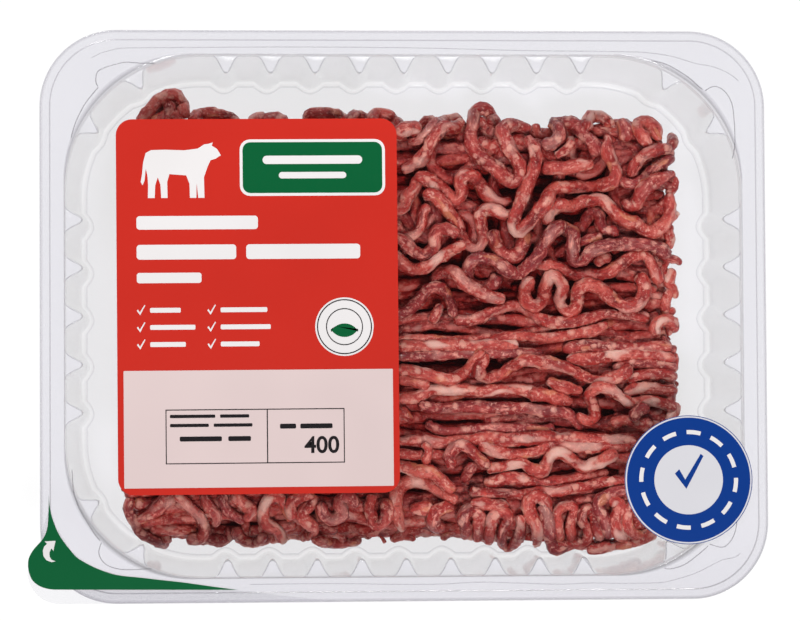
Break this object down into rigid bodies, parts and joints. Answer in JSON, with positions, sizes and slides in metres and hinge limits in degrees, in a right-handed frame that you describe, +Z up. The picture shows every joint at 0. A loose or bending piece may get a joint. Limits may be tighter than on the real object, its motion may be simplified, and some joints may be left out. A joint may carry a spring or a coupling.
{
  "type": "meat tray pack",
  "caption": "Sealed clear tray of minced meat with fluted walls, a flat lid film with a peel tab, and two printed labels.",
  "frame": {"origin": "middle of the tray's flat underside", "axes": "+X along the long side, away from the peel tab's corner; +Y towards the back edge, as the main label reads; +Z up through the lid film"},
  "size_m": [0.2308, 0.178, 0.041],
  "materials": {
    "clear_tray": "clear thermoformed sheet",
    "mince": "moist minced meat",
    "clear_film": "clear stretched film",
    "red_label": "satin printed label",
    "blue_label": "satin printed label",
    "green_print": "ink printed on the film",
    "white_print": "ink printed on a label"
  },
  "bodies": {
    "root": {"tray": "clear_tray", "mince": "mince", "lid_film": "clear_film", "main_label": "red_label", "round_label": "blue_label"}
  },
  "joints": []
}
